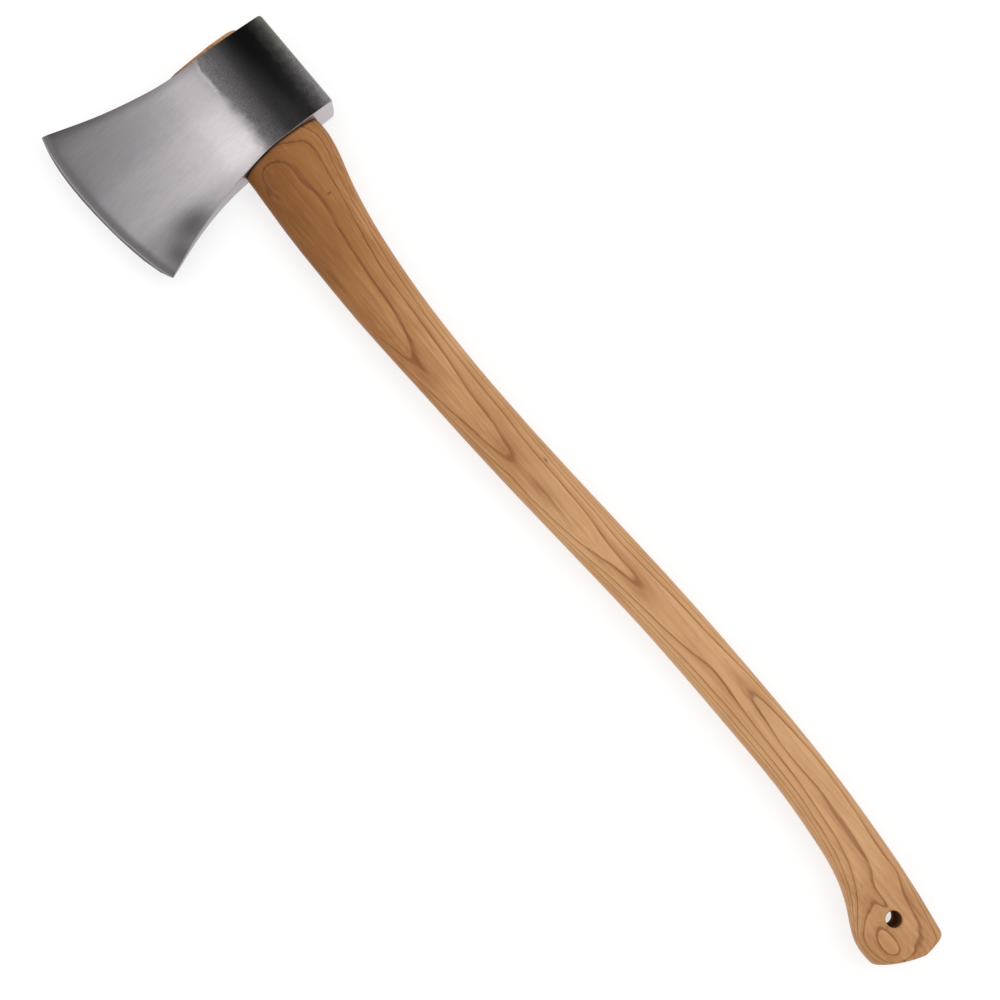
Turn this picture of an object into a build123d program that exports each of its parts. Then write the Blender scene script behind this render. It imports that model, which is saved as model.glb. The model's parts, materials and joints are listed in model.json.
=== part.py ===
"""Felling axe: a forged steel head hung on a curved wooden haft, held by a wooden wedge and a steel ring wedge.

The axe lies on its side. +X runs down the haft from the head, -Y is the side of the cutting edge, and +Z is up
through one cheek of the head. Millimetres. Places on the axe are measured from the middle of the eye.
"""

from build123d import *

import os

# Where the middle of the eye stands in the part's frame, so that the frame's origin is under the middle of the axe
EYE_X = -345.0
EYE_Y = 42.5
MID_Z = 14.63  # the middle plane of the axe, so that its cheek lies on Z = 0

# Head
POLL_Y = 50.0  # flat back face of the poll
POLL_TOP = -42.0  # where the head's top meets it
POLL_GROUND = 0.1  # how much is ground off the forging to make it flat
# The cheek in the middle of the head: its place, half the thickness, and its share of a section's thinning
CHEEK = [
    (POLL_Y + POLL_GROUND, 13.2, 0.0),
    (30.0, 14.4, 0.1),
    (9.0, 14.6, 0.2),
    (-12.0, 13.7, 0.4),
    (-38.0, 9.6, 1.0),
    (-88.0, 4.8, 0.8),
]
BEVEL_BACK = 4.5  # how far the ground bevel reaches back from the cutting edge
BEVEL_HALF = 1.5  # half the thickness where the bevel starts
EDGE_HALF = 0.15
# Each section across the head: its place along the haft, its cutting edge, and how much it thins the cheek
HEAD_SECTIONS = [
    (-77, -126.8, 2.8),
    (-40, -134.5, 1.1),
    (0, -134.0, 0.0),
    (40, -129.2, 1.1),
    (78, -118.0, 2.8),
]
# The head's top and bottom, from the ends of the straight lines at the poll to past the toe and the heel
TOP_SIDE = [
    (-43.4, 8.0),
    (-43.6, -16.0),
    (-46.5, -40.0),
    (-50.8, -60.0),
    (-58.9, -92.0),
    (-70.9, -128.0),
    (-77.8, -150.0),
]
BOTTOM_SIDE = [
    (42.5, 4.0),
    (44.3, -20.0),
    (46.6, -38.0),
    (51.0, -60.0),
    (60.3, -91.0),
    (71.7, -119.3),
    (82.4, -150.0),
]
POLL_RADIUS = 4.5
TOP_CORNER = 1.2
BOTTOM_CORNER = 2.0
RIM_CHAMFER = 0.6

# Eye: an oval hole, narrow at the front and wider at the top. Place and radius of its back, middle and front
EYE_ROUNDS = [(22.5, 8.2), (6.0, 9.8), (-26.5, 4.5)]
EYE_TAPER = 0.7

# Haft
PROUD = 4.3  # how far the haft and its wedge stand out of the eye
TOP_CHAMFER = 1.5
TONGUE_ROOT = 62.0
FULLNESS = 0.62  # 0.552 makes each section an ellipse, and more makes it squarer
# Each section across the haft: its place, front, back and half thickness
HAFT_SECTIONS = [
    (34, -31.3, 32.2, 11.6),
    (50, -33.5, 34.6, 12.4),
    (66, -34.5, 32.8, 12.7),
    (90, -35.9, 26.2, 12.7),
    (130, -36.9, 17.6, 12.4),
    (185, -36.6, 11.4, 12.1),
    (245, -34.1, 8.9, 11.9),
    (320, -30.6, 10.0, 11.7),
    (400, -25.2, 14.0, 11.5),
    (480, -20.2, 18.0, 11.4),
    (560, -18.6, 19.4, 11.4),
    (620, -19.0, 18.7, 11.7),
    (660, -22.3, 16.5, 12.3),
    (690, -28.0, 14.0, 13.0),
    (708, -35.6, 12.2, 13.5),
    (722, -43.5, 10.5, 13.8),
    (738, -46.4, 8.0, 14.0),
    (752, -46.4, 5.6, 14.0),
    (775, -46.4, 1.6, 14.0),
]
# The end is cut to a shallow arc and then straight up to its back corner
END_ARC = [(738.6, -54.5), (752.7, -34.1), (761.2, -15.0)]
END_BACK = (760.6, 14.0)
END_RADIUS = 3.5

# Hole for a lanyard or a peg, through the swell at the haft's end
HOLE = (728.8, -16.9)
HOLE_RADIUS = 5.5
HOLE_CHAMFER = 1.0
SWELL_HALF = 14.0  # half the thickness there

# Kerf and wooden wedge
KERF_TOP = 5.6
KERF_SAW = 1.4
WEDGE_DEPTH = 54.0
KERF_DEPTH = 62.0

# Ring wedge: a barbed steel tube with a sharp lower edge
RING_Y = 3.0
RING_RADIUS = 7.6
RING_WALL = 1.9
RING_LENGTH = 14.0
RING_SUNK = 0.4
RING_EDGE = 0.3
BARBS = 3
BARB_LENGTH = 3.0
BARB_DEPTH = 0.35

HEAD_TOP = TOP_SIDE[0][0]
HEAD_BOTTOM = BOTTOM_SIDE[0][0]
HAFT_TOP = HEAD_TOP - PROUD
MARGIN = 60.0

side = Plane(origin=(EYE_X, EYE_Y, MID_Z), x_dir=(1, 0, 0), z_dir=(0, 0, 1))
long_section = Plane(origin=side.origin, x_dir=(1, 0, 0), z_dir=(0, -1, 0))


def across(x):
    """The plane square to the haft's line at x, whose own x and y are the part's Y and Z."""
    return Plane(origin=side.from_local_coords((x, 0, 0)), x_dir=(0, 1, 0), z_dir=(1, 0, 0))


def head_section(x, edge_y, thinning):
    """A section across the head, from the flat poll to the bevelled cutting edge."""
    cheek = [(y, half - share * thinning) for y, half, share in CHEEK]
    cheek.append((edge_y + BEVEL_BACK, BEVEL_HALF))
    under = [(y, -half) for y, half in cheek]
    with BuildSketch(across(x)) as section:
        with BuildLine():
            Line(under[0], cheek[0])
            Spline(cheek)
            Polyline(cheek[-1], (edge_y, EDGE_HALF), (edge_y, -EDGE_HALF), under[-1])
            Spline(under)
        make_face()
        fillet(section.vertices().group_by(Axis.X)[-1], POLL_RADIUS)
    return section.sketch


def head_outline():
    """The head seen from its side, left open past the cutting edge, where the sections end it."""
    with BuildSketch(side) as outline:
        with BuildLine():
            leaving = Vector(TOP_SIDE[0]) - Vector(POLL_TOP, POLL_Y)
            Spline(TOP_SIDE, tangents=[leaving, Vector(TOP_SIDE[-1]) - Vector(TOP_SIDE[-2])])
            Spline(BOTTOM_SIDE, tangents=[(0, -1), Vector(BOTTOM_SIDE[-1]) - Vector(BOTTOM_SIDE[-2])])
            Line(TOP_SIDE[-1], BOTTOM_SIDE[-1])
            Polyline(TOP_SIDE[0], (POLL_TOP, POLL_Y), (HEAD_BOTTOM, POLL_Y), BOTTOM_SIDE[0])
        make_face()
        chamfer(outline.vertices().group_by(Axis.Y)[-1].sort_by(Axis.X)[0], TOP_CORNER)
        chamfer(outline.vertices().group_by(Axis.Y)[-1].sort_by(Axis.X)[-1], BOTTOM_CORNER)
    return outline.sketch


def on_rim(edge):
    """Whether an edge lies between a cheek and the head's top or bottom."""
    start, middle, end = (side.to_local_coords(edge @ along) for along in (0, 0.5, 1))
    return start.Z * end.Z > 1 and abs(middle.X) > HEAD_BOTTOM - BOTTOM_CORNER


def haft_section(x, front, back, half):
    """A section across the haft: an oval somewhat fuller than an ellipse, made of four curves."""
    middle = (front + back) / 2
    width = (back - front) / 2
    with BuildSketch(across(x)) as section:
        with BuildLine():
            for along, up in ((1, 1), (-1, 1), (-1, -1), (1, -1)):
                end = (middle + along * width, 0)
                crown = (middle, up * half)
                handles = [
                    (middle + along * width, up * half * FULLNESS),
                    (middle + along * width * FULLNESS, up * half),
                ]
                Bezier(end, *handles, crown)
        make_face()
    return section.sketch


def wedge_profile(depth):
    """The tapered slot in the haft's top, as deep as asked: past the wedge's tip it is the saw's width."""
    tip = HAFT_TOP + WEDGE_DEPTH
    bottom = HAFT_TOP + depth
    half = [(HAFT_TOP, KERF_TOP / 2), (tip, KERF_SAW / 2)]
    if bottom > tip:
        half.append((bottom, KERF_SAW / 2))
    with BuildSketch(long_section) as profile:
        with BuildLine():
            Polyline(*half, *[(x, -z) for x, z in reversed(half)], close=True)
        make_face()
    return profile.sketch


# The wood that fills the eye, which the haft's tongue and its wedge share
with BuildPart() as eye_wood:
    with BuildSketch(Plane(origin=across(TONGUE_ROOT).origin, x_dir=(0, 1, 0), z_dir=(-1, 0, 0))):
        for y, radius in EYE_ROUNDS:
            with Locations((y, 0)):
                Circle(radius)
        make_hull()
    extrude(amount=TONGUE_ROOT - HAFT_TOP - TOP_CHAMFER, taper=-EYE_TAPER)
    extrude(eye_wood.faces().sort_by(Axis.X)[0], amount=TOP_CHAMFER, taper=45)

# The steel ring driven across the wooden wedge
with BuildPart() as ring_wedge:
    ring_top = HAFT_TOP + RING_SUNK
    inner = RING_RADIUS - RING_WALL
    barbs = []
    for i in range(BARBS):
        barb_x = ring_top + i * BARB_LENGTH
        barb_radius = RING_RADIUS - i * BARB_DEPTH / 2
        barbs += [(barb_x, barb_radius), (barb_x + BARB_LENGTH, barb_radius - BARB_DEPTH)]
    ring_plane = Plane(origin=side.from_local_coords((0, RING_Y, 0)), x_dir=(1, 0, 0), z_dir=(0, 0, 1))
    with BuildSketch(ring_plane):
        with BuildLine():
            Polyline(
                *barbs,
                (ring_top + RING_LENGTH, inner + RING_EDGE),
                (ring_top + RING_LENGTH, inner),
                (ring_top, inner),
                close=True,
            )
        make_face()
    revolve(axis=Axis(ring_plane.origin, (1, 0, 0)))

with BuildPart() as axe_head:
    loft([head_section(*section) for section in HEAD_SECTIONS])
    extrude(head_outline(), amount=MARGIN, both=True, mode=Mode.INTERSECT)
    chamfer(axe_head.edges().filter_by(on_rim), RIM_CHAMFER)
    add(eye_wood.part, mode=Mode.SUBTRACT)

with BuildPart() as eye_wedge:
    add(eye_wood.part)
    extrude(wedge_profile(WEDGE_DEPTH), amount=MARGIN, both=True, mode=Mode.INTERSECT)
    add(ring_wedge.part, mode=Mode.SUBTRACT)

with BuildPart() as haft:
    loft([haft_section(*section) for section in HAFT_SECTIONS])
    with BuildSketch(side):
        with BuildLine():
            end = ThreePointArc(*END_ARC)
            Polyline(end @ 1, END_BACK, (0, MARGIN), (0, -MARGIN), (END_ARC[0][0], -MARGIN), end @ 0)
        make_face()
    extrude(amount=MARGIN, both=True, mode=Mode.INTERSECT)
    end_faces = haft.faces().sort_by(Axis.X)[-2:]
    fillet(end_faces.edges().filter_by(GeomType.LINE, reverse=True), END_RADIUS)
    extrude(head_outline(), amount=MARGIN, both=True, mode=Mode.SUBTRACT)
    add(eye_wood.part)
    extrude(wedge_profile(KERF_DEPTH), amount=MARGIN, both=True, mode=Mode.SUBTRACT)
    add(ring_wedge.part, mode=Mode.SUBTRACT)
    for up in (1, -1):
        face = Plane(origin=side.from_local_coords((*HOLE, up * SWELL_HALF)), z_dir=(0, 0, up))
        with Locations(face):
            CounterSinkHole(HOLE_RADIUS, HOLE_RADIUS + HOLE_CHAMFER, counter_sink_angle=90)

os.makedirs("parts", exist_ok=True)
for name, piece in (
    ("axe_head", axe_head),
    ("haft", haft),
    ("eye_wedge", eye_wedge),
    ("ring_wedge", ring_wedge),
):
    piece.part.label = name
    export_step(piece.part, f"parts/{name}.step")
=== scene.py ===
"""A felling axe lying on its side on a pale floor: a forged and ground steel head, an ash haft with a clear
finish, and the wooden wedge and steel ring wedge that hold the head on.

Metres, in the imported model's frame: +X runs down the haft, -Y is the side of the cutting edge and +Z is up.
The materials work in millimetres from the middle of the eye.
"""

import json
import math

import bmesh
import bpy
import numpy as np
from mathutils import Matrix, Vector
from mathutils import noise as lumps
from mathutils.bvhtree import BVHTree


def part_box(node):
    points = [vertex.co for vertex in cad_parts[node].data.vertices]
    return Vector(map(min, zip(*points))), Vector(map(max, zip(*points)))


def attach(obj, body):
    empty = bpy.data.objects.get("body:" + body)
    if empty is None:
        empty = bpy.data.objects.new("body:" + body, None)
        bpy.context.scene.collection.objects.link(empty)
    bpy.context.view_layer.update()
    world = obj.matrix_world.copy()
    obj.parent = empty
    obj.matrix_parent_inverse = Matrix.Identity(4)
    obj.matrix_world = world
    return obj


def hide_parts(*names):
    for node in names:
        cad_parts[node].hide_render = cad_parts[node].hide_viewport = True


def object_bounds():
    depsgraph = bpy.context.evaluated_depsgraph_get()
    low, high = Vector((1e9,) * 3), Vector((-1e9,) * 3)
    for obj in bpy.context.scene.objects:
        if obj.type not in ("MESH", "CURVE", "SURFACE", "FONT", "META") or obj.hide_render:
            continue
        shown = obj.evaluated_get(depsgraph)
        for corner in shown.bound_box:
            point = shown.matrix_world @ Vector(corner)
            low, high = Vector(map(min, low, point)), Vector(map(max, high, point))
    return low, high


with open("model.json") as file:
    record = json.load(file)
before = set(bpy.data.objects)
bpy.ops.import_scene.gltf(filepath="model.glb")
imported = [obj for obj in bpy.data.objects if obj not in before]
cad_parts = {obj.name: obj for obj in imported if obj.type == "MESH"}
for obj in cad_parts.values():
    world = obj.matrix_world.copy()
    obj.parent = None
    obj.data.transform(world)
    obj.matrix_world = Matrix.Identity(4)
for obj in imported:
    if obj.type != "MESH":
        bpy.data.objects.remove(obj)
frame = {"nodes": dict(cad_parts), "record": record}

MM = 0.001

cad_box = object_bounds()
mounts = {mount["name"]: Vector(mount["pos_m"]) for mount in frame["record"]["mounts"]}
POLL_Y = 50.0  # the poll's flat face, in millimetres from the middle of the eye
EYE = mounts["poll_face"] - Vector((0, POLL_Y * MM, 0))
HOLE = np.array((mounts["hanging_hole"] - EYE) / MM)
HOLE_RADIUS = 5.5

# Meshes, in millimetres from the middle of the eye
FAR = 120.0  # outside the head and the haft
TOE_Y = -127.5  # where the measuring of the head's top and bottom starts
POLL_BAND = 8.0  # the width of the poll's rounding, whose rows are closer together
BEVEL = 4.5
RIM_RADIUS = 0.8
HEAD_COLUMNS = 104
WALL_SHARES = np.linspace(0, 1, 13)
SPOKES = 96  # points in a ring of the eye or the haft
EYE_LINE = 3.0  # the y of the line that the eye's spokes start from
EYE_REACH = 40.0  # how far above and below its middle the eye is measured
TOP_CHAMFER = 1.5
END_MIDDLE = 728.0  # where the haft's rows start to fan out over its end

# Camera: almost straight above, a little towards the swell and the side of the cutting edge
CAMERA_PLACE = Vector((0.1142, -0.1280, 1.0834))
CAMERA_AIM = Vector((-0.0023, 0.0027, 0.0146))
CAMERA_UP = Vector((-0.7738, 0.6334, 0))
CAMERA_LENS = 55.67  # millimetres, on a 36 mm sensor

# Haft grain, in millimetres from the middle of the eye. A growth ring is the surface where
# height + rise + tilt * y / 10 + bow * (y / 10) ** 2 is a multiple of the ring's width
RING_WIDTH = 1.7
RISE = [
    (42, -9.1), (50, -8.5), (60, -8.0), (80, -7.8), (110, -7.5), (150, -7.6), (190, -7.8), (230, -8.2),
    (280, -8.4), (330, -9.1), (380, -9.4), (430, -10.1), (480, -10.2), (530, -10.8), (580, -10.5),
    (630, -10.3), (680, -10.5), (710, -9.9), (765, -9.6),
]
TILT = [
    (42, -0.7), (60, -0.5), (100, -0.3), (160, 0.1), (230, 0.2), (280, 0.5), (330, 0.1), (380, -1.0),
    (440, -0.3), (500, 0.5), (560, 1.2), (620, 1.7), (680, 1.9), (720, 2.6), (765, 2.8),
]
BOW = [
    (42, 0.5), (80, 0.3), (150, 0.5), (220, 0.6), (300, 0.6), (380, 0.05), (440, 0.05), (540, 0.55),
    (640, 0.65), (700, 0.85), (765, 0.4),
]
# Places where the rings swell or dip near the upper face: middle, reach along and across, and height
SWELLS = [
    ((60, -20), (12, 14), 0.7), ((85, -32), (30, 4.5), 2.4), ((140, -34), (38, 5), 1.9),
    ((185, -33), (20, 4), 0.5), ((120, 10), (30, 4), 0.2), ((165, 0), (30, 5), -0.2),
    ((215, -3), (30, 4), 0.2), ((224, -23), (20, 9), -0.4), ((290, -25), (16, 4), -0.2),
    ((318, -16), (20, 7), 0.3), ((440, -5), (20, 7), 0.5), ((530, -3), (22, 6), -0.3),
    ((562, 7), (20, 6), 0.6), ((600, 2), (30, 4), 0.5), ((655, -4), (22, 4), 0.3),
    ((706, -17), (8, 4), -0.2), ((715, -10), (9, 4), 0.2), ((715, -15.5), (8, 2.5), -0.5),
    ((715, -28), (7, 6), -0.2), ((721, -34), (7, 4), -0.2), ((728, -14), (9, 3), -0.4),
    ((731, -28), (15, 8), 1.0), ((731, -8), (15, 6), 0.4), ((744, -31), (10, 8), 1.3),
]

# Where the rings' lines are fainter than elsewhere: middle and reach
FAINT_LINES = ((118, -28), (60, 7))

# Haft colours, as screen values, from the lightest wood to the darkest
WOODS = [(209, 161, 113), (164, 110, 60), (124, 74, 22)]
RED_WOOD = (160, 96, 54)
LATE_WOOD = (150, 96, 50)
LINE_IN_LIGHT_WOOD = (140, 84, 38)
LINE_IN_DARK_WOOD = (80, 42, 12)
PAINTED_SHEEN_WOOD = (226, 188, 146)
PORES = (96, 58, 28)
DARK_MARK_AND_GAP_SHADE = (52, 28, 12)
PAINTED_BORE_SHADE = (110, 70, 42)
# The haft's middle line as its colours see it, how dark the wood is along it, and how much darker it is
# towards the cutting edge's side, all by x
MIDDLE_LINE = [
    (42, 0), (130, -9.7), (245, -12.6), (370, -7.5), (480, -1.0), (600, 0), (690, -7), (765, -22),
]
FRONT_REACH = 22  # how far from the middle line the extra darkness is full
DARKNESS = [
    (-48, 0.4), (20, 0.5), (42, 0.78), (75, 0.72), (100, 0.65), (130, 0.6), (160, 0.46), (190, 0.38),
    (220, 0.3), (250, 0.22), (280, 0.2), (320, 0.19), (370, 0.06), (400, 0.07), (440, 0.1), (480, 0.0),
    (520, 0.0), (560, 0.06), (640, 0.06), (680, 0.1), (710, 0.2), (738, 0.27), (765, 0.33),
]
FRONT_DARKNESS = [
    (42, 0.25), (130, 0.25), (160, 0.15), (220, 0.2), (250, 0.18), (280, 0.08), (310, 0.08), (370, 0.0),
    (765, 0.0),
]
# Redder patches and small dark marks on the upper face: middle, reach along and across, and strength
RED_PATCHES = [
    ((322, -14.5), (16, 6), 0.45), ((242, -23), (15, 6), 0.4), ((455, -5), (13, 5), 0.3),
    ((545, 7), (15, 3.6), 0.35), ((72, -4), (14, 3.4), 0.4), ((727, -2), (7, 3), 0.35),
    ((709, -19), (8, 5), 0.25), ((508, -2), (20, 4), 0.15),
]
DARK_MARKS = [
    ((95.6, 4.6), (0.8, 1.4), 0.75), ((342, 1.7), (2.0, 0.7), 0.75), ((754, -29), (1.0, 1.0), 0.75),
]
# Streaks of painted sheen: middle and reach
PAINTED_SHEEN_STREAKS = ((376, -13), (36, 6.5))
# The head's bottom over the haft, by y, along which the haft is painted dark as shade where it meets the
# steel
HEAD_FOOT = [(-42, 47.2), (-30, 45.5), (-20, 44.3), (-10, 43.2), (4, 42.5), (42, 42.5)]

# Head. Its tones are brightnesses on the screen, from 0 to 255.
# The forged skin's tone by y, and how much it gains there for each millimetre of x between two ends
# These tones are partly the skin's own darkness and partly painted reflection, brightest towards the poll's
# rounding
SKIN_AND_REFLECTION_TONE = [
    (-12, 128), (-6, 114), (0, 96), (6, 78), (14, 47), (22, 34), (30, 22), (38, 52), (43, 78), (47, 116),
    (50, 132),
]
SKIN_AND_REFLECTION_SLOPE = [
    (-12, 0), (6, -0.12), (14, 0.0), (22, 0.45), (30, 0.55), (38, 0.48), (44, 0.5), (50, 0.35),
]
SLOPE_ENDS = (-36, 32)
SCRATCH_GAIN = 30
# The ground steel's tone by y, its share of that tone by x, and the smudges near the heel
# The ground tone and its share are partly the steel's own tone and partly painted reflection of the cheek's
# curve
GROUND_AND_REFLECTION_TONE = [
    (-135, 118), (-126, 140), (-118, 152), (-105, 160), (-90, 167), (-75, 177), (-60, 185), (-45, 193),
    (-30, 203), (-20, 205), (-8, 196), (10, 190),
]
GROUND_AND_REFLECTION_SHARE = [
    (-78, 0.66), (-60, 0.75), (-45, 0.86), (-30, 0.87), (-15, 0.91), (0, 0.99), (15, 1.03), (30, 1.07),
    (45, 0.97), (60, 0.95), (78, 0.92),
]
HEEL_SMUDGES = [((51, -84), (11, 16), 0.36), ((62, -105), (10, 10), 0.3)]
# The line up to which the cheek is ground, by x, how softly it ends, and the gain of a painted highlight
GRIND_LINE = [
    (-48, -8.5), (-40, -8.7), (-31, -10.4), (-15, -9.5), (0, -10), (15, -9), (27, -9.5), (48, -10),
]
GRIND_SOFTNESS = [(-48, 1.0), (-20, 1.4), (-8, 3.6), (2, 5.2), (16, 5.8), (48, 6.0)]
PAINTED_HIGHLIGHT_GAIN = 14
# The head's top by y and its cutting edge by x, and the bevel's tone by the distance from that edge
HEAD_TOP_LINE = [
    (-134, -73), (-92, -58.9), (-60, -50.8), (-40, -46.5), (-16, -43.6), (8, -43.4), (50, -42.0),
]
CUTTING_EDGE = [(-77, -126.8), (-40, -134.5), (0, -134.0), (40, -129.2), (78, -118.0)]
# The bevel's tone is painted reflection: dark, with a painted highlight line near the cutting edge
BEVEL_REFLECTION_TONE = [(0, 92), (0.9, 104), (1.7, 140), (2.5, 110), (4.5, 104), (10, 112)]
# The tone of the head's top and bottom by y, and of the poll's face
WALL_TONE = [(-130, 150), (-60, 170), (-30, 182), (20, 190), (50, 192)]
POLL_TONE = 186
# The tints that those tones are given, as screen values
STEEL_TINT = (255, 247, 251)
SCALE_TINT = (252, 255, 236)
SCREEN_GAMMA = 2.2


# Node helpers


class Field:
    """A value that a material works out at every point. Arithmetic on it adds math nodes."""

    def __init__(self, tree, socket):
        self.tree = tree
        self.socket = socket

    def math(self, operation, *others):
        node = self.tree.nodes.new("ShaderNodeMath")
        node.operation = operation
        for entry, value in zip(node.inputs, (self, *others)):
            feed(self.tree, entry, value)
        return Field(self.tree, node.outputs[0])

    def __add__(self, other):
        return self.math("ADD", other)

    def __radd__(self, other):
        return self.math("ADD", other)

    def __sub__(self, other):
        return self.math("SUBTRACT", other)

    def __rsub__(self, other):
        return self.math("MULTIPLY", -1) + other

    def __mul__(self, other):
        return self.math("MULTIPLY", other)

    def __rmul__(self, other):
        return self.math("MULTIPLY", other)

    def __truediv__(self, other):
        return self.math("DIVIDE", other)

    def step(self, low, high):
        """Rises smoothly from 0 at low to 1 at high, or falls if low is the greater."""
        node = self.tree.nodes.new("ShaderNodeMapRange")
        node.interpolation_type = "SMOOTHSTEP"
        feed(self.tree, node.inputs["Value"], self)
        node.inputs["From Min"].default_value = min(low, high)
        node.inputs["From Max"].default_value = max(low, high)
        node.inputs["To Min"].default_value = float(low > high)
        node.inputs["To Max"].default_value = float(low < high)
        return Field(self.tree, node.outputs["Result"])

    def curve(self, points):
        """Reads a smooth curve through (place, value) points."""
        places = [place for place, _ in points]
        values = [value for _, value in points]
        low, high = min(values), max(values)
        node = self.tree.nodes.new("ShaderNodeFloatCurve")
        line = node.mapping.curves[0].points
        for number, (place, value) in enumerate(points):
            across = (place - places[0]) / (places[-1] - places[0])
            up = (value - low) / (high - low)
            if number in (0, len(points) - 1):
                line[-1 if number else 0].location = (across, up)
            else:
                line.new(across, up)
        node.mapping.update()
        feed(self.tree, node.inputs["Value"], ((self - places[0]) / (places[-1] - places[0])).clamp())
        return Field(self.tree, node.outputs[0]) * (high - low) + low

    def clamp(self):
        return self.math("MAXIMUM", 0).math("MINIMUM", 1)


def feed(tree, entry, value):
    """Sets a node's input to a number or a colour, or links a field to it."""
    if isinstance(value, Field):
        tree.links.new(value.socket, entry)
    else:
        entry.default_value = value


def noise(x, y, z, size, detail=2.0, roughness=0.5, seed=0):
    """Smooth noise from about -1 to 1, whose features are as long as size says along x, y and z."""
    tree = x.tree
    place = tree.nodes.new("ShaderNodeCombineXYZ")
    for entry, along, length in zip(place.inputs, (x, y, z), size):
        feed(tree, entry, along / length + 7.3 * seed)
    node = tree.nodes.new("ShaderNodeTexNoise")
    tree.links.new(place.outputs[0], node.inputs["Vector"])
    node.inputs["Scale"].default_value = 1.0
    node.inputs["Detail"].default_value = detail
    node.inputs["Roughness"].default_value = roughness
    return (Field(tree, node.outputs["Fac"]) - 0.5) * 2.6


def patches(x, y, places):
    """The sum of oval patches, each of which has its middle, its reach and its strength."""
    total = x * 0
    for middle, reach, strength in places:
        total = total + spot(x, y, middle, reach) * strength
    return total


def spot(x, y, middle, reach):
    """1 at the middle of an oval patch, falling smoothly to 0 around it."""
    across = (x - middle[0]) / reach[0]
    along = (y - middle[1]) / reach[1]
    return (-1 * (across * across + along * along)).math("EXPONENT")


def colour(red, green, blue):
    """A colour from its screen values of 0 to 255."""
    def linear(value):
        value /= 255
        return value / 12.92 if value <= 0.04045 else ((value + 0.055) / 1.055) ** 2.4

    return (linear(red), linear(green), linear(blue), 1.0)


def mix(first, second, amount, tree):
    """The first colour where amount is 0, and the second where it is 1."""
    node = tree.nodes.new("ShaderNodeMix")
    node.data_type = "RGBA"
    feed(tree, node.inputs[0], amount)
    feed(tree, node.inputs[6], first)
    feed(tree, node.inputs[7], second)
    return Field(tree, node.outputs[2])


def material(name):
    """A new material, its node tree and shader, and the place in millimetres from the eye's middle."""
    made = bpy.data.materials.new(name)
    made.use_nodes = True
    tree = made.node_tree
    shader = tree.nodes["Principled BSDF"]
    place = tree.nodes.new("ShaderNodeTexCoord").outputs["Object"]
    split = tree.nodes.new("ShaderNodeSeparateXYZ")
    tree.links.new(place, split.inputs[0])
    x, y, z = ((Field(tree, out) - start) / MM for out, start in zip(split.outputs, EYE))
    return made, tree, shader, x, y, z


def finish_shader(tree, shader, base, roughness, height, **rest):
    """Feeds the shader its colour, its roughness, and its relief, which is given in millimetres."""
    feed(tree, shader.inputs["Base Color"], base)
    feed(tree, shader.inputs["Roughness"], roughness)
    bump = tree.nodes.new("ShaderNodeBump")
    bump.inputs["Distance"].default_value = MM
    feed(tree, bump.inputs["Height"], height)
    tree.links.new(bump.outputs[0], shader.inputs["Normal"])
    for name, value in rest.items():
        feed(tree, shader.inputs[name.replace("_", " ")], value)


# Shapes


class Surface:
    """The surface of a CAD node, probed by rays. Places are in millimetres from the middle of the eye."""

    def __init__(self, node):
        self.tree = BVHTree.FromObject(frame["nodes"][node], bpy.context.evaluated_depsgraph_get())

    def hit(self, start, direction):
        """The first place on the surface along the ray, or nothing."""
        place = self.tree.ray_cast(EYE + Vector(start) * MM, Vector(direction))[0]
        return None if place is None else np.array((place - EYE) / MM)

    def measure(self, starts, direction, axis):
        """One coordinate of the hits of many parallel rays, with any gaps filled from their neighbours."""
        hits = [self.hit(start, direction) for start in starts]
        found = [number for number, place in enumerate(hits) if place is not None]
        return np.interp(range(len(hits)), found, [hits[number][axis] for number in found])


def make_tube(name, rings, material=None):
    """A closed mesh through rings of points, with a flat face on its first ring and its last."""
    count = len(rings[0])
    points = [EYE + Vector(point) * MM for ring in rings for point in ring]
    faces = []
    for start in range(0, len(points) - count, count):
        for number in range(count):
            here = start + number
            beside = start + (number + 1) % count
            faces.append((here, beside, beside + count, here + count))
    faces.append(tuple(reversed(range(count))))
    faces.append(tuple(range(len(points) - count, len(points))))
    mesh = bpy.data.meshes.new(name)
    mesh.from_pydata(points, [], faces)
    if material:
        mesh.materials.append(material)
    shaped = bmesh.new()
    shaped.from_mesh(mesh)
    bmesh.ops.recalc_face_normals(shaped, faces=shaped.faces)
    shaped.to_mesh(mesh)
    shaped.free()
    piece = bpy.data.objects.new(name, mesh)
    bpy.context.collection.objects.link(piece)
    return piece


def carve(piece, cutter):
    """Cuts the cutter's shape out of a piece, and deletes the cutter."""
    material = piece.data.materials[0]
    cut = piece.modifiers.new("cut", "BOOLEAN")
    cut.solver = "EXACT"
    cut.object = cutter
    shown = piece.evaluated_get(bpy.context.evaluated_depsgraph_get())
    mesh = bpy.data.meshes.new_from_object(shown)
    mesh.materials.clear()
    mesh.materials.append(material)
    mesh.polygons.foreach_set("material_index", [0] * len(mesh.polygons))
    piece.modifiers.clear()
    piece.data = mesh
    bpy.data.objects.remove(cutter)


def copy_of(node, stretch=(1, 1, 1)):
    """A copy of a CAD node's shape to cut with, stretched about its middle."""
    low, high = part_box(node)
    middle = (low + high) / 2
    piece = bpy.data.objects.new("cutter", frame["nodes"][node].data.copy())
    stretched = Matrix.Diagonal((*stretch, 1)) @ Matrix.Translation(-middle)
    piece.data.transform(Matrix.Translation(middle) @ stretched)
    bpy.context.collection.objects.link(piece)
    return piece


def shade(piece, degrees):
    """Shades a piece smooth, apart from creases sharper than the angle."""
    piece.data.shade_smooth()
    piece.data.set_sharp_from_angle(angle=math.radians(degrees))


def lump(place, size):
    """Smooth unevenness from 0 to about 1."""
    return (lumps.noise(Vector(place) / size) * 1.6 + 1) / 2


def ramp(value, low, high):
    """Rises evenly from 0 at low to 1 at high."""
    return np.clip((value - low) / (high - low), 0, 1)


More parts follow.
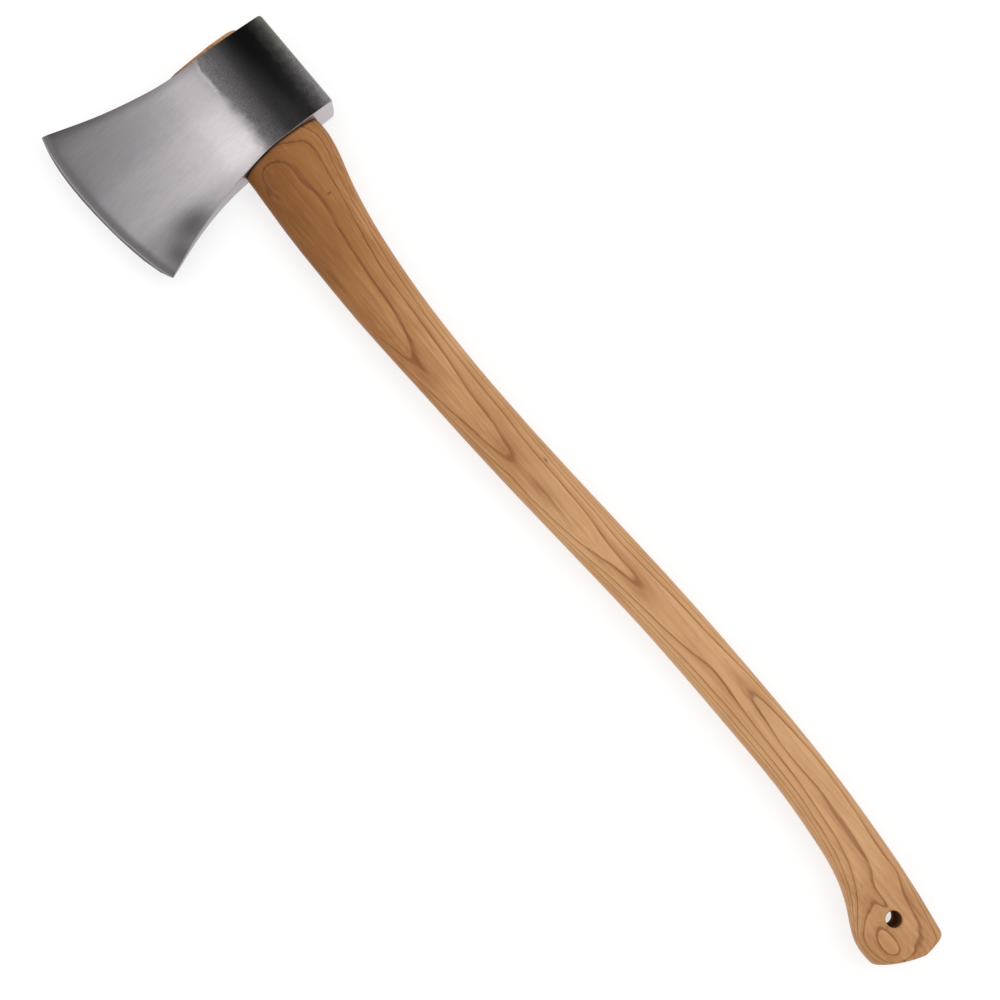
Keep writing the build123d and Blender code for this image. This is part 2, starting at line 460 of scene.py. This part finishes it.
class Eye:
    """The eye's wall in the CAD head, as the radius on evenly turned spokes from a line near its middle."""

    def __init__(self, head):
        self.turns = np.linspace(0, 2 * math.pi, SPOKES, endpoint=False)
        ends = []
        for x in (-EYE_REACH, EYE_REACH):
            walls = [head.hit((x, EYE_LINE, 0), (0, math.cos(turn), math.sin(turn))) for turn in self.turns]
            ends.append([math.hypot(wall[1] - EYE_LINE, wall[2]) for wall in walls])
        self.top, self.bottom = np.array(ends)

    def ring(self, x, inset=0.0):
        """The wall's outline at x, drawn in by inset."""
        radius = self.top + (self.bottom - self.top) * (x + EYE_REACH) / (2 * EYE_REACH) - inset
        spokes = zip(radius, self.turns)
        return [(x, EYE_LINE + out * math.cos(turn), out * math.sin(turn)) for out, turn in spokes]


class Outline:
    """The CAD head seen from its side: its top and bottom for each y, and its cutting edge for each x."""

    def __init__(self, head):
        self.ys = np.arange(TOE_Y, POLL_Y, 0.25)
        sides = []
        for sign in (-1, 1):
            thick = head.measure([(sign * EYE_REACH, y, FAR) for y in self.ys], (0, 0, -1), 2)
            beside_eye = np.where(self.ys > -EYE_REACH, 0.85 * thick, 0)
            starts = [(sign * FAR, y, z) for y, z in zip(self.ys, beside_eye)]
            sides.append(head.measure(starts, (-sign, 0, 0), 0))
        self.top, self.bottom = sides
        self.xs = np.arange(self.top.min(), self.bottom.max(), 0.5)
        self.edge = head.measure([(x, -2 * FAR, 0) for x in self.xs], (0, 1, 0), 1)

    def top_at(self, y):
        return np.interp(y, self.ys, self.top)

    def bottom_at(self, y):
        return np.interp(y, self.ys, self.bottom)

    def row(self, along):
        """One row's places: along runs over the poll's rounding to 1, the cheek to 2, the bevel to 3."""
        x = np.linspace(-EYE_REACH, EYE_REACH, HEAD_COLUMNS)
        share = np.linspace(0, 1, HEAD_COLUMNS)
        for _ in range(8):
            edge = np.interp(x, self.xs, self.edge)
            y = POLL_Y - POLL_BAND * min(along, 1) ** 2
            y = y + (edge + BEVEL - POLL_Y + POLL_BAND) * ramp(along, 1, 2) - BEVEL * ramp(along, 2, 3)
            top = self.top_at(y) + RIM_RADIUS
            bottom = self.bottom_at(y) - RIM_RADIUS
            x = top + (bottom - top) * share
        return x, y


def head_ring(head, outline, along):
    """One closed row round the head: over the upper cheek, down the bottom, back under and up the top."""
    xs, ys = outline.row(along)
    half = head.measure([(x, min(y, POLL_Y - 0.05), FAR) for x, y in zip(xs, ys)], (0, 0, -1), 2)
    cheeks = []
    for side in (1, -1):
        dents = []
        for x, y in zip(xs, ys):
            forged = ramp(y, -8, 6) * ramp(POLL_Y - y, 0, 4)
            deep = 0.16 * lump((x, y, 40 * side), 15) + 0.07 * lump((x, y, 80 * side), 5)
            dents.append(forged * deep + 0.03 * lump((x, y, 120 * side), 24) * ramp(half[0], 0, 3))
        cheeks.append(half - dents)
    ring = []
    for side, order in ((1, slice(None)), (-1, slice(None, None, -1))):
        cheek = cheeks[0] if side > 0 else cheeks[1]
        ring += list(zip(xs[order], ys[order], side * cheek[order]))
        # Round the rim, and cross the wall to where the other cheek's rim starts
        end = -1 if side > 0 else 0
        wall = outline.bottom_at(ys[end]) if side > 0 else outline.top_at(ys[end])
        near, far = (cheeks[0][end], cheeks[1][end]) if side > 0 else (cheeks[1][end], cheeks[0][end])
        corner = [math.radians(angle) for angle in (22.5, 45, 67.5)]
        near_radius, far_radius = (min(RIM_RADIUS, 0.6 * thick) for thick in (near, far))
        rim = [(near_radius * math.sin(turn), near - near_radius * (1 - math.cos(turn))) for turn in corner]
        rows = [(1 - share) * (near - near_radius) - share * (far - far_radius) for share in WALL_SHARES]
        rim += [(RIM_RADIUS, z) for z in rows]
        far_corner = reversed(corner)
        rim += [(far_radius * math.sin(turn), far_radius * (1 - math.cos(turn)) - far) for turn in far_corner]
        ring += [(wall + side * (out - RIM_RADIUS), ys[end], side * z) for out, z in rim]
    return ring


def make_head(head, outline, eye, material):
    rows = np.concatenate([np.linspace(0, 1, 14), np.linspace(1, 2, 150)[1:], np.linspace(2, 3, 7)[1:]])
    piece = make_tube("forged_head", [head_ring(head, outline, along) for along in rows], material)
    carve(piece, make_tube("cutter", [eye.ring(-FAR / 2), eye.ring(FAR / 2)]))
    shade(piece, 24)
    return piece


def spoke(turn, lean):
    """The direction of a spoke square to the haft, or leaning towards its end by an angle."""
    return np.array((math.sin(lean), math.cos(lean) * math.cos(turn), math.cos(lean) * math.sin(turn)))


class HaftProbe:
    """The CAD haft's outer surface, met by rays that come in square to it along its spokes."""

    def __init__(self, turns):
        self.surface = Surface("haft")
        self.turns = turns
        self.xs = np.arange(48.0, END_MIDDLE + 1, 2.0)
        front = self.surface.measure([(x, -FAR, 0) for x in self.xs], (0, 1, 0), 1)
        back = self.surface.measure([(x, FAR, 0) for x in self.xs], (0, -1, 0), 1)
        self.middles = (front + back) / 2

    def middle(self, x):
        return np.interp(x, self.xs, self.middles)

    def radius(self, x, turn, lean):
        """How far the surface is from the middle line at x, on a spoke."""
        out = spoke(turn, lean)
        middle = np.array((x, self.middle(x), 0))
        place = self.surface.hit(tuple(middle + FAR * out), tuple(-out))
        if place is None or math.hypot(*(place - HOLE)[:2]) < HOLE_RADIUS + 1.7:
            return math.nan
        return float(np.linalg.norm(place - middle))


def fill_gaps(grid):
    """Fills the missing values of a grid smoothly from the values round them."""
    missing = np.isnan(grid)
    grid[missing] = np.nanmean(grid[np.any(missing, axis=1)])
    for _ in range(400):
        padded = np.pad(grid, ((1, 1), (0, 0)), mode="edge")
        around = (padded[2:] + padded[:-2] + np.roll(grid, 1, axis=1) + np.roll(grid, -1, axis=1)) / 4
        grid[missing] = around[missing]
    return grid


def smooth_rows(grid, first, last, times):
    """Evens out the rows from first to last, along the haft."""
    for _ in range(times):
        grid[first:last] = (grid[first - 1:last - 1] + 2 * grid[first:last] + grid[first + 1:last + 1]) / 4
    return grid


def haft_rings(outline, eye):
    probe = HaftProbe(eye.turns)
    stations = np.concatenate([np.arange(42.6, 52, 0.8), np.arange(52, END_MIDDLE, 1.7)])
    leans = np.radians(np.concatenate([np.zeros(len(stations)), np.arange(2.2, 89, 2.2)]))
    stations = np.concatenate([stations, np.full(len(leans) - len(stations), END_MIDDLE)])
    ys = np.full(SPOKES, 0.0)
    places = []
    radii = []
    for station, lean in zip(stations, leans):
        for _ in range(4 if not places else 1):
            # Near the head the rows follow its curved bottom
            xs = station + (outline.bottom_at(ys) - outline.bottom_at(POLL_Y - 5)) * ramp(station, 75, 42)
            radius = [probe.radius(x, turn, lean) for x, turn in zip(xs, eye.turns)]
            known = np.nan_to_num(radius, nan=10.0)
            ys = probe.middle(xs) + known * np.cos(eye.turns)
        places.append(xs)
        radii.append(radius)
    radii = fill_gaps(np.array(radii))
    body = int(np.sum(leans == 0))
    radii = smooth_rows(radii, 5, body - 2, 16)
    radii = smooth_rows(radii, body - 4, len(radii) - 1, 2)
    rings = []
    for xs, row, lean in zip(places, radii, leans):
        ring = []
        for x, radius, turn in zip(xs, row, eye.turns):
            out = spoke(turn, lean)
            place = np.array((x, probe.middle(x), 0)) + radius * out
            ring.append(tuple(place - 0.12 * lump(place, 38) * out))
        rings.append(ring)
    return rings


def make_haft(outline, eye, material):
    top = (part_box("haft")[0].x - EYE.x) / MM
    tongue = [
        eye.ring(top, TOP_CHAMFER + 0.3),
        eye.ring(top + 0.25, TOP_CHAMFER - 0.3),
        eye.ring(top + TOP_CHAMFER, 0.2),
        eye.ring(top + TOP_CHAMFER + 0.4),
    ]
    tongue += [eye.ring(x) for x in np.arange(top + 5, 38, 4)]
    contact = [(float(outline.bottom_at(y)), y, z) for _, y, z in eye.ring(45)]
    piece = make_tube("curved_haft", tongue + [contact] + haft_rings(outline, eye), material)
    carve(piece, copy_of("eye_wedge", stretch=(1.002, 1.03, 1)))
    carve(piece, copy_of("ring_wedge"))
    bore = []
    for z, wider in ((-18, 5), (-13, 0), (13, 0), (18, 5)):
        across = HOLE_RADIUS + wider
        circle = [(across * math.cos(turn), across * math.sin(turn)) for turn in eye.turns]
        bore.append([(HOLE[0] + x, HOLE[1] + y, z) for x, y in circle])
    carve(piece, make_tube("cutter", bore))
    shade(piece, 30)
    return piece


# Materials


def haft_wood():
    made, tree, shader, x, y, z = material("lacquered_ash")
    upper = z.step(2, 8)
    # Growth rings, each of which ends in a dark line
    side = y / 10
    wobble = 0.07 * noise(x, y, z, (34, 8, 8), seed=1) + 0.03 * noise(x, y, z, (9, 2, 2), seed=2)
    ring_height = z + x.curve(RISE) + x.curve(TILT) * side + x.curve(BOW) * side * side + wobble
    ring_height = ring_height + patches(x, y, SWELLS) * upper
    ring = ring_height / RING_WIDTH
    age = ring - ring.math("FLOOR")
    soft = noise(x, y, z, (26, 3, 3), detail=2, seed=11)
    faint = 1 - 0.5 * upper * spot(x, y, *FAINT_LINES)
    late = age.step(0.35, 1.0) * faint
    line = (age + 0.04 * soft).step(0.82, 0.97).math("MAXIMUM", age.step(0.05, 0.0) * 0.8)
    line = line * faint * (0.78 + 0.3 * soft)
    second = (age - 0.45 + 0.05 * soft).math("ABSOLUTE").step(0.07, 0.0) * soft.step(0.0, 0.6)
    # Fibres and pores run along the haft
    fibre = noise(x, y, z, (20, 1.0, 1.0), detail=3, roughness=0.6, seed=3)
    streak = noise(x, y, z, (75, 2.6, 2.6), detail=3, seed=4)
    layer = noise(x, ring_height, z, (60, 0.3, 20), detail=2, seed=7)
    cloud = noise(x, y, z, (40, 13, 13), seed=8)
    pore = noise(x, y, z, (8, 0.42, 0.42), detail=1, seed=5).step(0.45, 0.85) * age.step(0.6, 0.1)
    # The wood is dark in the neck, most of all at its front, and light further down
    front = ((x.curve(MIDDLE_LINE) - y) / FRONT_REACH).math("MINIMUM", 1).math("MAXIMUM", -1)
    darkness = x.curve(DARKNESS) + front * x.curve(FRONT_DARKNESS)
    darkness = darkness + 0.15 * streak + 0.12 * layer + 0.14 * fibre + 0.1 * cloud
    light, middle, dark = (colour(*wood) for wood in WOODS)
    base = mix(light, middle, (darkness * 2).clamp(), tree)
    base = mix(base, dark, (darkness * 2 - 1).clamp(), tree)
    red = 0.1 * (cloud + streak).clamp() + patches(x, y, RED_PATCHES) * upper
    base = mix(base, colour(*RED_WOOD), red.clamp(), tree)
    base = mix(base, colour(*LATE_WOOD), late * 0.3, tree)
    line_colour = mix(colour(*LINE_IN_LIGHT_WOOD), colour(*LINE_IN_DARK_WOOD), darkness.clamp(), tree)
    base = mix(base, line_colour, line * 0.85 + second * 0.25, tree)
    # Painted sheen: lighter streaks on the upper face
    painted_sheen = noise(x, y, z, (24, 1.1, 1.1), detail=2, seed=9).step(0.0, 0.8) * spot(x, y, *PAINTED_SHEEN_STREAKS)
    base = mix(base, colour(*PAINTED_SHEEN_WOOD), painted_sheen * upper * 0.8, tree)
    base = mix(base, colour(*PORES), pore * 0.45, tree)
    # Painted shade darkens it beside the head and in the bore of the hole, which is unfinished and dull
    painted_gap_shade = (x - y.curve(HEAD_FOOT)).step(2.6, 0.4) * x.step(20, 35) * 0.8
    # One dark colour serves the real dark marks and the painted shade beside the head
    base = mix(base, colour(*DARK_MARK_AND_GAP_SHADE), (patches(x, y, DARK_MARKS) * upper + painted_gap_shade).clamp(), tree)
    away_x = x - HOLE[0]
    away_y = y - HOLE[1]
    from_hole = (away_x * away_x + away_y * away_y).math("SQRT")
    bore = from_hole.step(HOLE_RADIUS + 0.3, HOLE_RADIUS + 0.05)
    # Painted shade in the bore: its wall is coloured dark brown, and it is also made dull
    base = mix(base, colour(*PAINTED_BORE_SHADE), bore * 0.9, tree)
    height = -0.03 * line - 0.05 * pore + 0.012 * fibre
    roughness = 0.42 + 0.05 * streak + 0.12 * pore + 0.5 * bore
    finish_shader(tree, shader, base, roughness, height, Specular_IOR_Level=0.28 * (1 - bore))
    return made


def forged_steel():
    made, tree, shader, x, y, z = material("forged_and_ground_steel")
    # The cheek is ground bright up to a soft, uneven line, past which the dark skin of the forging is left
    line = x.curve(GRIND_LINE)
    softness = x.curve(GRIND_SOFTNESS)
    uneven = 1.6 * noise(x, y, z, (6, 6, 6), seed=1) + 0.6 * noise(x, y, z, (2.6, 2.6, 2.6), seed=2)
    depth = y - line + uneven
    forged = (depth / softness).step(-1, 1)
    # A painted highlight on the ground side of the grind line, where the cheek's curve would catch the light
    painted_grind_highlight = depth.step(-4, -1) * depth.step(1, -1) * x.step(-8, -20)
    speckle = noise(x, y, z, (1.1, 1.1, 1.1), detail=2, roughness=0.65, seed=6)
    scratch = noise(x + 0.6 * y, y - 0.6 * x, z, (0.35, 14, 3), detail=1, seed=10).step(0.62, 0.8)
    blotch = noise(x, y, z, (6, 6, 6), detail=3, roughness=0.6, seed=3)
    # Partly the forged skin's own darkness, partly painted reflection
    skin_and_reflection_tone = (y + 1.2 * blotch).curve(SKIN_AND_REFLECTION_TONE)
    along = x.math("MAXIMUM", SLOPE_ENDS[0]).math("MINIMUM", SLOPE_ENDS[1])
    skin_and_reflection_tone = skin_and_reflection_tone + y.curve(SKIN_AND_REFLECTION_SLOPE) * along
    skin_and_reflection_tone = skin_and_reflection_tone * (1 + 0.26 * speckle + 0.12 * blotch) + SCRATCH_GAIN * scratch
    # Fine grinding marks run from the cutting edge towards the poll
    drift = x + 0.08 * y
    brush = noise(drift, y, z, (0.8, 12, 0.8), detail=2, seed=4)
    brush_long = noise(drift, y, z, (2, 40, 2), detail=3, seed=5)
    cloud = noise(x, y, z, (14, 24, 14), detail=3, seed=7)
    # Partly the ground steel's own tone, partly painted reflection
    ground_and_reflection_tone = y.curve(GROUND_AND_REFLECTION_TONE) * x.curve(GROUND_AND_REFLECTION_SHARE)
    top_rim = (x - y.curve(HEAD_TOP_LINE)).step(9, 0)
    marks = 0.045 * brush + 0.028 * brush_long + 0.022 * cloud
    ground_and_reflection_tone = ground_and_reflection_tone * (1 - 0.16 * top_rim) * (1 + marks)
    for middle, reach, strength in HEEL_SMUDGES:
        ground_and_reflection_tone = ground_and_reflection_tone * (1 - strength * spot(x, y, middle, reach))
    # The bevel is painted dark as a reflection, with a painted highlight line near the cutting edge
    from_edge = y - x.curve(CUTTING_EDGE)
    bevel = (from_edge + 0.5 * cloud).step(10, 3.5)
    painted_bevel_reflection = from_edge.curve(BEVEL_REFLECTION_TONE) * (1 + 0.05 * brush)
    ground_and_reflection_tone = ground_and_reflection_tone + (painted_bevel_reflection - ground_and_reflection_tone) * bevel
    tone = ground_and_reflection_tone + (skin_and_reflection_tone - ground_and_reflection_tone) * forged + PAINTED_HIGHLIGHT_GAIN * painted_grind_highlight
    # The top, the bottom and the face of the poll are ground bright
    normal = tree.nodes.new("ShaderNodeSeparateXYZ")
    tree.links.new(tree.nodes.new("ShaderNodeNewGeometry").outputs["Normal"], normal.inputs[0])
    wall = Field(tree, normal.outputs[0]).math("ABSOLUTE").step(0.6, 0.85)
    wall_tone = y.curve(WALL_TONE) * (1 + 0.03 * noise(x, y, z, (9, 9, 0.5), detail=2, seed=8))
    tone = tone + (wall_tone - tone) * wall
    poll = Field(tree, normal.outputs[1]).step(0.8, 0.97)
    poll_brush = noise(x, y, z, (9, 9, 0.5), detail=2, seed=9)
    tone = tone + (POLL_TONE * (1 + 0.04 * poll_brush + 0.05 * blotch) - tone) * poll
    skin = forged * (1 - wall) * (1 - poll)
    light = (tone / 255).clamp().math("POWER", SCREEN_GAMMA)
    scaly = skin * y.step(12, 32) * x.step(20, -30)
    tint = mix(colour(*STEEL_TINT), colour(*SCALE_TINT), scaly, tree)
    base = mix(colour(0, 0, 0), tint, light, tree)
    roughness = 0.34 + 0.05 * brush + skin * 0.2
    height = 0.005 * brush * (1 - skin) + (0.03 * speckle + 0.05 * blotch) * skin
    shine = 0.5 - 0.3 * skin * y.step(10, 24) * y.step(46, 38)
    finish_shader(tree, shader, base, roughness, height, Metallic=1 - skin * 0.4, Specular_IOR_Level=shine)
    return made


def ring_steel():
    made, tree, shader, x, y, z = material("turned_steel")
    turned = noise(x, y, z, (1.2, 6, 6), detail=3, seed=1)
    spots = noise(x, y, z, (2, 2, 2), detail=3, seed=2)
    bright = colour(176, 174, 172)
    dull = colour(120, 116, 112)
    base = mix(bright, dull, (0.4 + 0.5 * spots).clamp(), tree)
    finish_shader(tree, shader, base, 0.38 + 0.06 * spots, 0.01 * turned, Metallic=1.0)
    return made


def wedge_wood():
    made, tree, shader, x, y, z = material("beech_wedge")
    ring = (z * 0.45 + y * 0.2 + 0.1 * noise(x, y, z, (30, 6, 6), seed=1)) / 0.9
    age = ring - ring.math("FLOOR")
    fibre = noise(x, y, z, (20, 0.6, 0.6), detail=3, seed=2)
    early_wood = colour(222, 188, 138)
    late_wood = colour(176, 128, 78)
    fibres = colour(150, 105, 62)
    base = mix(early_wood, late_wood, age.step(0.4, 1.0), tree)
    base = mix(base, fibres, (fibre * 0.6).clamp() * 0.4, tree)
    finish_shader(tree, shader, base, 0.55 + 0.05 * fibre, 0.02 * fibre)
    return made


def floor_paint():
    made = bpy.data.materials.new("floor_paint")
    made.use_nodes = True
    shader = made.node_tree.nodes["Principled BSDF"]
    shader.inputs["Base Color"].default_value = (0.35, 0.35, 0.35, 1)
    shader.inputs["Emission Color"].default_value = (1, 1, 1, 1)
    shader.inputs["Emission Strength"].default_value = 0.7
    shader.inputs["Roughness"].default_value = 0.9
    shader.inputs["Specular IOR Level"].default_value = 0.0
    return made


# Stage


def make_floor():
    bpy.ops.mesh.primitive_plane_add(size=12, location=(0, 0, cad_box[0].z))
    floor = bpy.context.object
    floor.name = "floor"
    floor.data.materials.append(floor_paint())


def make_lights():
    world = bpy.data.worlds.new("studio")
    world.use_nodes = True
    sky = world.node_tree.nodes["Background"]
    sky.inputs["Color"].default_value = (1, 1, 1, 1)
    sky.inputs["Strength"].default_value = 0.8
    bpy.context.scene.world = world
    for name, place, size, power in (
        ("key_light", Vector((0.9, 1.4, 2.2)), 1.6, 15),
        ("fill_light", Vector((-1.4, -1.2, 2.0)), 1.8, 5),
    ):
        lamp = bpy.data.lights.new(name, "AREA")
        lamp.size = size
        lamp.energy = power
        made = bpy.data.objects.new(name, lamp)
        made.location = place
        made.rotation_euler = (-place).to_track_quat("-Z", "Y").to_euler()
        bpy.context.collection.objects.link(made)


def make_camera():
    lens = bpy.data.cameras.new("camera")
    lens.lens = CAMERA_LENS
    lens.sensor_width = 36
    camera = bpy.data.objects.new("camera", lens)
    back = (CAMERA_PLACE - CAMERA_AIM).normalized()
    right = CAMERA_UP.cross(back).normalized()
    turn = Matrix((right, back.cross(right), back)).transposed()
    camera.matrix_world = Matrix.Translation(CAMERA_PLACE) @ turn.to_4x4()
    bpy.context.collection.objects.link(camera)
    bpy.context.scene.camera = camera


bpy.context.scene.view_settings.view_transform = "Standard"
make_camera()
make_lights()
make_floor()
cad_head = Surface("axe_head")
head_outline = Outline(cad_head)
head_eye = Eye(cad_head)
forged_head = make_head(cad_head, head_outline, head_eye, forged_steel())
curved_haft = make_haft(head_outline, head_eye, haft_wood())
for piece, node, slot in ((forged_head, "axe_head", "forged_steel"), (curved_haft, "haft", "haft_wood")):
    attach(piece, "root")
    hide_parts(node)
for node, made in (("eye_wedge", wedge_wood()), ("ring_wedge", ring_steel())):
    for holder in frame["nodes"][node].material_slots:
        holder.material = made
